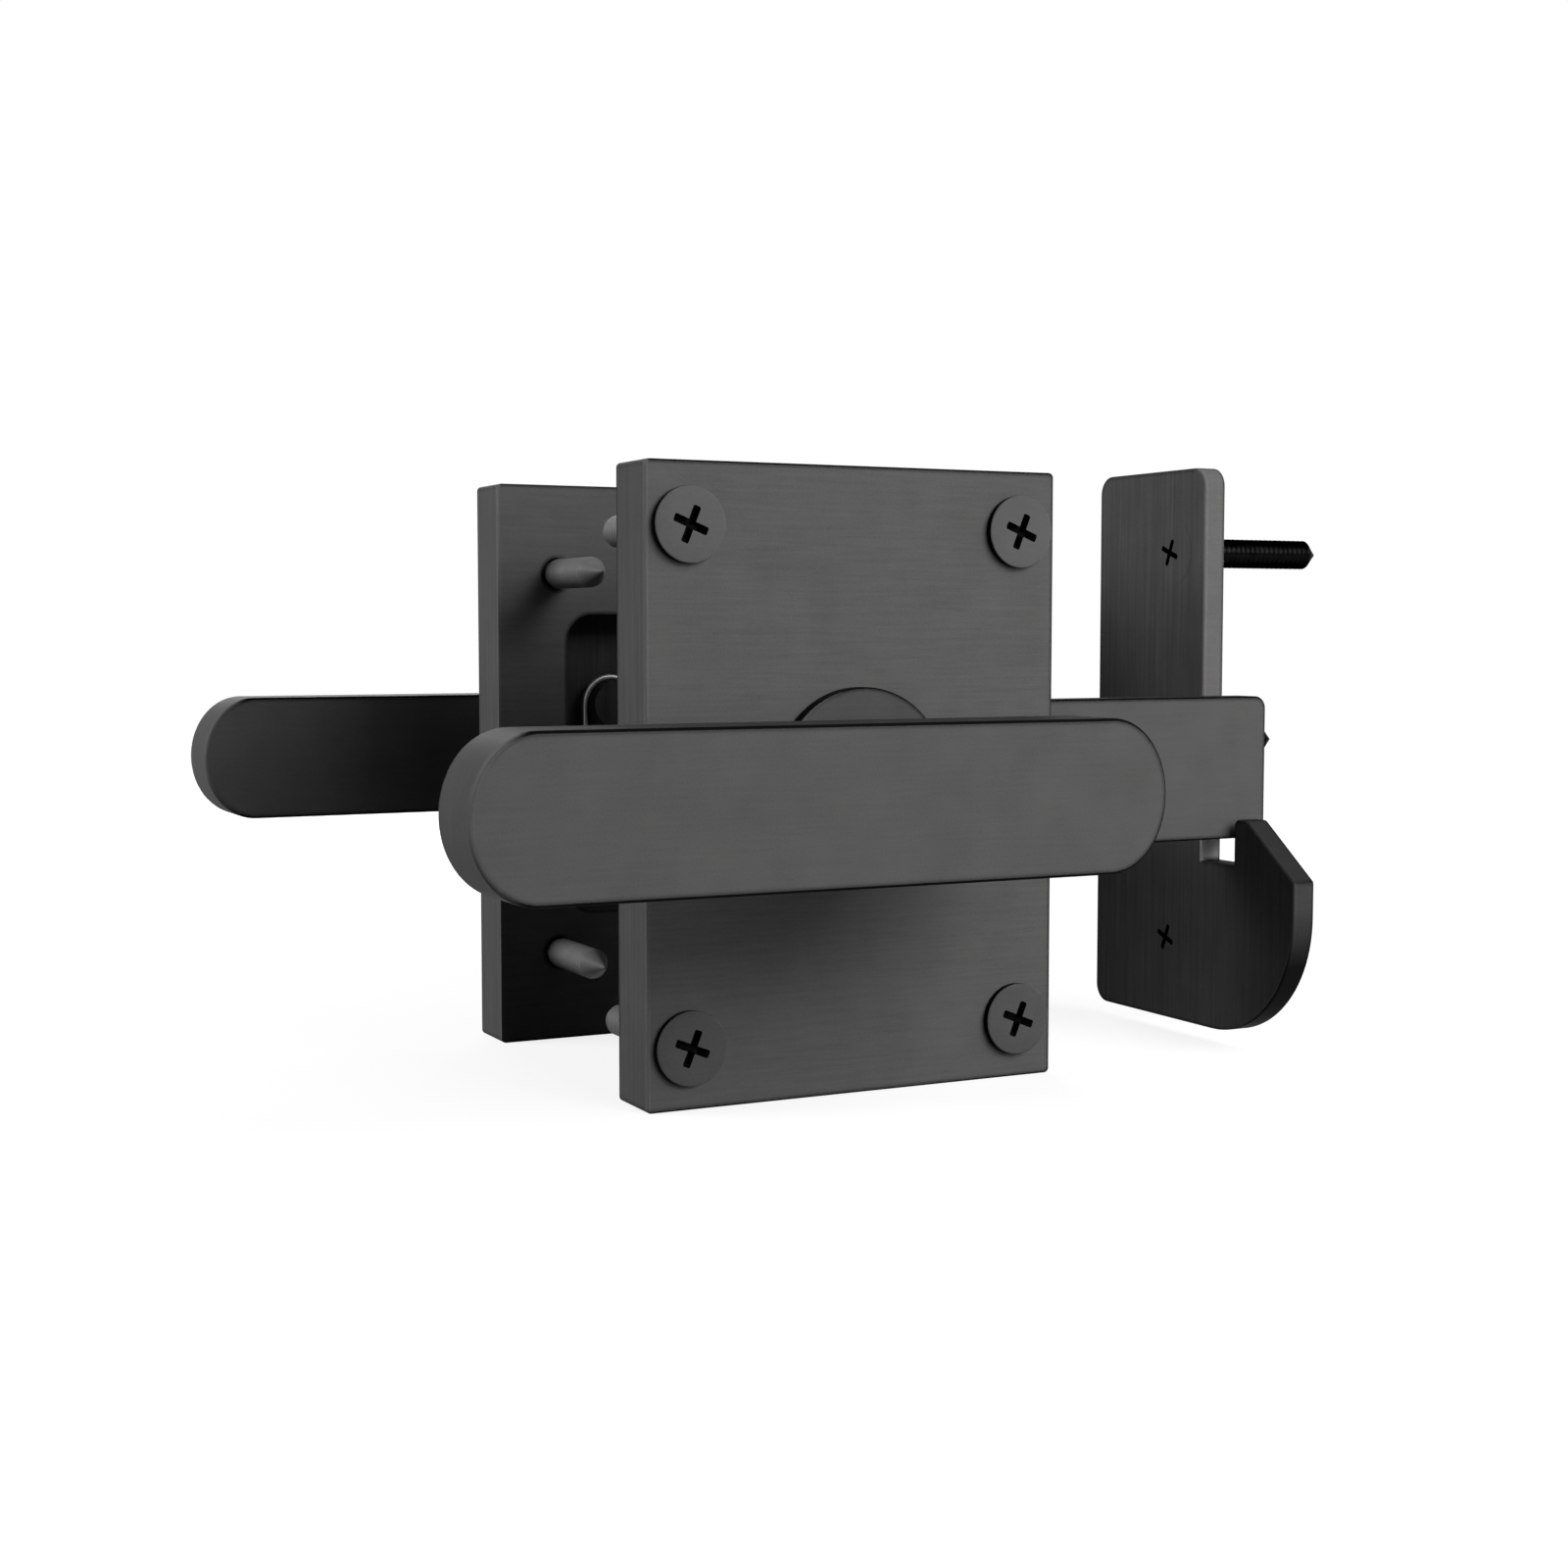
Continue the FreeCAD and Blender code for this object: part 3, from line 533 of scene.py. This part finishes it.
def screwMesh(name, form):
    mesh = bmesh.new()
    finish = mesh.faces.layers.int.new("finish")
    rings = []
    for height, radius, depth in screwProfile(form):
        ring = []
        for side in range(screwSides):
            share = side / screwSides
            phase = (height / form["threadPitch"] + share) % 1.0
            root = min(1.0, min(phase, 1 - phase) / threadFlank)
            reach = (radius - depth * root) * mm
            turn = 2 * math.pi * share
            ring.append(mesh.verts.new((reach * math.cos(turn), reach * math.sin(turn), height * mm)))
        rings.append(ring)
    headRows = lipSteps + 2 if form["lip"] else 2
    for index in range(len(rings) - 1):
        for side in range(screwSides):
            after = (side + 1) % screwSides
            face = mesh.faces.new((rings[index][side], rings[index + 1][side],
                                   rings[index + 1][after], rings[index][after]))
            wall = form["lip"] and lipSteps - 1 <= index < headRows        # the head's side and underside, painted black as shade
            face[finish] = onBlack if wall else (onShank if index >= headRows else onHead)
    tip = mesh.verts.new((0, 0, -form["length"] * mm))
    for side in range(screwSides):
        face = mesh.faces.new((rings[-1][side], tip, rings[-1][(side + 1) % screwSides]))
        face[finish] = onShank
    mouth = [mesh.verts.new(Vector(p) * mm) for p in crossOutline(form, 1.0, -form["film"])]
    floorDepth = form["recessDepth"] * recess["floorDepth"]
    floor = [mesh.verts.new(Vector(p) * mm) for p in crossOutline(form, recess["floorScale"], floorDepth)]
    middle = mesh.verts.new((0, 0, -form["recessDepth"] * mm))
    # the recess's walls and floor, painted black as shade
    for index in range(len(mouth)):
        after = (index + 1) % len(mouth)
        walls = [mesh.faces.new((mouth[index], mouth[after], floor[after], floor[index])),
                 mesh.faces.new((floor[index], floor[after], middle))]
        for face in walls:
            face[finish] = onBlack
    loops = []
    for loop in (rings[0], mouth):
        for index in range(len(loop)):
            loops.append(mesh.edges.get((loop[index], loop[(index + 1) % len(loop)])))
    bmesh.ops.triangle_fill(mesh, use_beauty=True, edges=loops)
    bmesh.ops.recalc_face_normals(mesh, faces=mesh.faces)
    made = bpy.data.meshes.new(name)
    mesh.to_mesh(made)
    mesh.free()
    made.shade_smooth()
    made.set_sharp_from_angle(angle=math.radians(sharpDeg))
    master = bpy.data.objects.new(name, made)
    bpy.context.scene.collection.objects.link(master)
    return master


def screwSockets(places):
    sockets = [("Screw", "Object"), ("Lean", "Vector")] + places
    return sockets + [(label, "Material") for label in screwPaints]


def screwValues(master, lean, headCoat, shank, places):
    paints = zip(screwPaints, (headCoat, blackOxideAndShade, shank))
    return dict(places, Screw=master, Lean=lean, **dict(paints))


def stampScrews(tree, given, points):
    # a screw on each point, leaning the way its face looks
    source = addNode(tree, "GeometryNodeObjectInfo", {}, {"Object": given["Screw"]})
    lean = addNode(tree, "FunctionNodeEulerToRotation", {}, {"Euler": given["Lean"]})
    placed = addNode(tree, "GeometryNodeInstanceOnPoints", {},
                     {"Points": points, "Instance": source.outputs["Geometry"], "Rotation": lean.outputs[0]})
    solid = addNode(tree, "GeometryNodeRealizeInstances", {}, {"Geometry": placed.outputs[0]}).outputs[0]
    finish = addNode(tree, "GeometryNodeInputNamedAttribute", {"data_type": "INT"}, {"Name": "finish"})
    for number, label in enumerate(screwPaints):
        same = addNode(tree, "FunctionNodeCompare", {"data_type": "INT", "operation": "EQUAL"},
                       {"A": finish.outputs[0], "B": number})
        solid = paint(tree, solid, given[label], same.outputs[0])
    endTree(tree, solid)


def cornerScrewTree():
    tree, given = newTree("cornerScrews", screwSockets([("Across", "Float"), ("Up", "Float"),
                                                        ("Face", "Float")]))
    wide = mathNode(tree, "MULTIPLY", given["Across"], 2.0)
    high = mathNode(tree, "MULTIPLY", given["Up"], 2.0)
    grid = addNode(tree, "GeometryNodeMeshGrid", {}, {"Size X": wide, "Size Y": high,
                                                      "Vertices X": 2, "Vertices Y": 2})
    shift = addNode(tree, "ShaderNodeCombineXYZ", {}, {"Y": given["Face"]})
    upright = addNode(tree, "GeometryNodeTransform", {},
                      {"Geometry": grid.outputs["Mesh"], "Translation": shift.outputs[0],
                       "Rotation": (math.pi / 2, 0, 0)})
    stampScrews(tree, given, upright.outputs[0])
    return tree


def rowScrewTree():
    tree, given = newTree("rowScrews", screwSockets([("Lowest", "Vector"), ("Rise", "Float"),
                                                     ("Middle offset", "Float")]))
    step = addNode(tree, "ShaderNodeCombineXYZ", {}, {"Z": given["Rise"]})
    row = addNode(tree, "GeometryNodeMeshLine", {}, {"Count": 3, "Start Location": given["Lowest"],
                                                     "Offset": step.outputs[0]})
    index = addNode(tree, "GeometryNodeInputIndex")
    middle = addNode(tree, "FunctionNodeCompare", {"data_type": "INT", "operation": "EQUAL"},
                     {"A": index.outputs[0], "B": 1})
    aside = addNode(tree, "ShaderNodeCombineXYZ", {}, {"Y": given["Middle offset"]})
    moved = addNode(tree, "GeometryNodeSetPosition", {},
                    {"Geometry": row.outputs[0], "Selection": middle.outputs[0],
                     "Offset": aside.outputs[0]})
    stampScrews(tree, given, moved.outputs[0])
    return tree


def screwPlace(nodeName):
    low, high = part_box(nodeName)
    return (low + high) / 2, low, high


plateMaster = screwMesh("plateScrewForm", plateScrew)
strikeMaster = screwMesh("strikeScrewForm", strikeScrew)
cornerTree = cornerScrewTree()
quarter = math.pi / 2
screwSets = []
for side, outward in (("front", -1), ("rear", 1)):
    middle, low, high = screwPlace(f"{side}_plate_screw_1")
    face = low.y if outward < 0 else high.y
    places = {"Across": abs(middle.x), "Up": abs(middle.z), "Face": face}
    screws = growPiece(f"{side}_plate_screws", cornerTree,
                       screwValues(plateMaster, (-outward * quarter, 0.0, 0.0), screwCoat, shankSteel,
                                   places))
    screwSets.append((screws, [f"{side}_plate_screw_{number}" for number in range(1, 5)]))

lowest, low, high = screwPlace("strike_screw_3")
centre = screwPlace("strike_screw_2")[0]
places = {"Lowest": (low.x, lowest.y, lowest.z), "Rise": centre.z - lowest.z,
          "Middle offset": centre.y - lowest.y}
screws = growPiece("strike_screws", rowScrewTree(),
                   screwValues(strikeMaster, (0.0, -quarter, 0.0), strikeFilm, postSteel, places))
screwSets.append((screws, [f"strike_screw_{number}" for number in range(1, 4)]))
for screws, replaced in screwSets:
    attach(screws, "fixed")
    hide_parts(*replaced)
for master in (plateMaster, strikeMaster):
    bpy.data.objects.remove(master)
print("screws:", [(screws.name, len(screws.data.polygons)) for screws, _ in screwSets])


# Return spring: hook over the boss, leg, coil and leg to the carrier's peg

spring = {
    "wireRadius": 0.65, "coilRadius": 8.5, "turns": 3.25,
    "bossX": -15.5, "bossZ": 12.6, "hookRadius": 6.0, "hookTail": 3.0,
    "legBend": 4.0, "movingLeg": 9.5,
    "fixedY": 73.555, "movingY": 69.2,
    "stepDeg": 6.0,
}
wireSides = 16


def arcPoints(centreX, centreZ, radius, first, last, stepDeg):
    count = max(2, round(abs(last - first) / stepDeg))
    angles = [math.radians(first + (last - first) * index / count) for index in range(count + 1)]
    return [(centreX + radius * math.cos(a), centreZ + radius * math.sin(a)) for a in angles]


def springLine(form):
    hook, bend, coil, step = form["hookRadius"], form["legBend"], form["coilRadius"], form["stepDeg"]
    left = form["bossX"] - hook
    flat = [(form["bossX"] + hook, form["bossZ"] - form["hookTail"])]
    flat += arcPoints(form["bossX"], form["bossZ"], hook, 0, 180, step)
    flat += arcPoints(left + bend, bend - coil, bend, 180, 270, step)
    points = [(x, form["fixedY"], z) for x, z in flat]
    total = 360 * form["turns"]
    coilPoints = arcPoints(0, 0, coil, -90, total - 90, step)
    drop = form["movingY"] - form["fixedY"]
    for index, (x, z) in enumerate(coilPoints):
        points.append((x, form["fixedY"] + drop * index / (len(coilPoints) - 1), z))
    turn = math.radians(total - 90)
    reach = form["movingLeg"]
    points.append((coil * math.cos(turn) - reach * math.sin(turn), form["movingY"],
                   coil * math.sin(turn) + reach * math.cos(turn)))
    return points


def wireTree():
    tree, given = newTree("bentWire", [("Line", "Geometry"), ("Wire radius", "Float"),
                                       ("Coat", "Material")])
    line = addNode(tree, "GeometryNodeMeshToCurve", {}, {"Mesh": given["Line"]})
    ring = addNode(tree, "GeometryNodeCurvePrimitiveCircle", {}, {"Resolution": wireSides,
                                                                  "Radius": given["Wire radius"]})
    wire = addNode(tree, "GeometryNodeCurveToMesh", {},
                   {"Curve": line.outputs[0], "Profile Curve": ring.outputs["Curve"], "Fill Caps": True})
    solid = addNode(tree, "GeometryNodeRealizeInstances", {}, {"Geometry": wire.outputs[0]})
    smooth = addNode(tree, "GeometryNodeSetShadeSmooth", {}, {"Geometry": solid.outputs[0]})
    endTree(tree, paint(tree, smooth.outputs[0], given["Coat"]))
    return tree


linePoints = [Vector(point) * mm for point in springLine(spring)]
lineMesh = bpy.data.meshes.new("springLine")
lineMesh.from_pydata(linePoints, [(i, i + 1) for i in range(len(linePoints) - 1)], [])
springWire = growPiece("spring_wire", wireTree(),
                       {"Wire radius": spring["wireRadius"] * mm, "Coat": springSteel}, lineMesh)
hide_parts("return_spring")
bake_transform(springWire)
print("spring:", len(springWire.data.polygons), "faces")


# Floor, world, lamps and camera

studio = {
    "floorSize": 30.0,
    "whiteNear": 0.82,         # the floor's own white beside the object, where its shadow shows
    "whiteFar": 1.0,
    "nearReach": 0.25, "farReach": 0.9,
    "floorBounce": 0.10,       # what the floor sends back to the object
    "floorShade": 0.30,        # how strongly the lamps and the shadow show on it
    "fill": 0.015,
}


def seenDirectly(tree):
    # 1 for rays that show the studio itself, and 0 for those that light the object
    path = addNode(tree, "ShaderNodeLightPath").outputs
    mask = mathNode(tree, "MAXIMUM", path["Is Camera Ray"], path["Is Glossy Ray"])
    return mathNode(tree, "MAXIMUM", mask, path["Is Transmission Ray"])


def whiteFloor():
    made, tree, shader = startMaterial("floorPaper")
    tree.nodes.remove(shader)
    seen = seenDirectly(tree)
    where = addNode(tree, "ShaderNodeTexCoord")
    away = addNode(tree, "ShaderNodeVectorMath", {"operation": "LENGTH"}, {0: where.outputs["Object"]})
    white = addNode(tree, "ShaderNodeMapRange", {"interpolation_type": "SMOOTHSTEP"},
                    {"Value": away.outputs["Value"], "From Min": studio["nearReach"],
                     "From Max": studio["farReach"], "To Min": studio["whiteNear"],
                     "To Max": studio["whiteFar"]})
    strength = mathNode(tree, "MULTIPLY", seen, white.outputs[0])
    glow = addNode(tree, "ShaderNodeEmission", {}, {"Color": grey(1.0), "Strength": strength})
    tone = mathNode(tree, "ADD", studio["floorBounce"],
                    mathNode(tree, "MULTIPLY", seen, studio["floorShade"] - studio["floorBounce"]))
    paper = addNode(tree, "ShaderNodeBsdfDiffuse", {}, {"Color": tone})
    both = addNode(tree, "ShaderNodeAddShader", {}, {0: paper.outputs[0], 1: glow.outputs[0]})
    tree.links.new(both.outputs[0], tree.nodes["Material Output"].inputs["Surface"])
    return made


half = studio["floorSize"] / 2
level = cadBox[0][2]
corners = [(-half, -half, level), (half, -half, level), (half, half, level), (-half, half, level)]
floorMesh = bpy.data.meshes.new("floor")
floorMesh.from_pydata(corners, [], [(0, 1, 2, 3)])
floorMesh.materials.append(whiteFloor())
floor = bpy.data.objects.new("floor", floorMesh)
bpy.context.scene.collection.objects.link(floor)

world = bpy.data.worlds.new("studio")
world.use_nodes = True
bpy.context.scene.world = world
sky = addNode(world.node_tree, "ShaderNodeMix", {"data_type": "RGBA"},
              {"Factor": seenDirectly(world.node_tree), "A": grey(studio["fill"]), "B": grey(1.0)})
world.node_tree.links.new(sky.outputs[2], world.node_tree.nodes["Background"].inputs["Color"])

# lamps stand on a sphere about the spindle: turn is 0 in front and 90 on the post's side
lamps = {
    "front": {"turn": 10, "rise": 12, "size": (0.34, 0.50), "watts": 2.12},
    "key": {"turn": 30, "rise": 29, "size": (0.42, 0.42), "watts": 3.65},
    "postSide": {"turn": 75, "rise": 5, "size": (0.28, 0.28), "watts": 1.07},
    "hingeSide": {"turn": -116, "rise": 23, "size": (0.44, 0.28), "watts": 3.3},
    "behind": {"turn": 168, "rise": 14, "size": (0.44, 0.44), "watts": 3.0},
}
lampDistance = 0.75


def addLamp(name, form):
    data = bpy.data.lights.new(name, "AREA")
    data.shape = "RECTANGLE"
    data.size, data.size_y = form["size"]
    data.energy = form["watts"]
    turn, rise = math.radians(form["turn"]), math.radians(form["rise"])
    way = Vector((math.sin(turn) * math.cos(rise), -math.cos(turn) * math.cos(rise), math.sin(rise)))
    lamp = bpy.data.objects.new(name, data)
    lamp.visible_camera = False
    lamp.location = way * lampDistance
    lamp.rotation_euler = (-way).to_track_quat("-Z", "Y").to_euler()
    bpy.context.scene.collection.objects.link(lamp)


for lampName, form in lamps.items():
    addLamp(lampName, form)

view = {
    "place": (-0.20324, -0.38660, 0.02914),
    "turnDeg": (86.03, 0.0, -26.66),
    "lens": 51.19, "sensor": 36.0, "clipStart": 0.01,
}
camera = bpy.data.objects.new("camera", bpy.data.cameras.new("camera"))
camera.data.lens = view["lens"]
camera.data.sensor_width = view["sensor"]
camera.data.sensor_fit = "HORIZONTAL"
camera.data.clip_start = view["clipStart"]
camera.location = view["place"]
camera.rotation_euler = [math.radians(angle) for angle in view["turnDeg"]]
bpy.context.scene.collection.objects.link(camera)
bpy.context.scene.camera = camera
bpy.context.scene.view_settings.view_transform = "Standard"
print("studio ready:", len(lamps), "lamps")
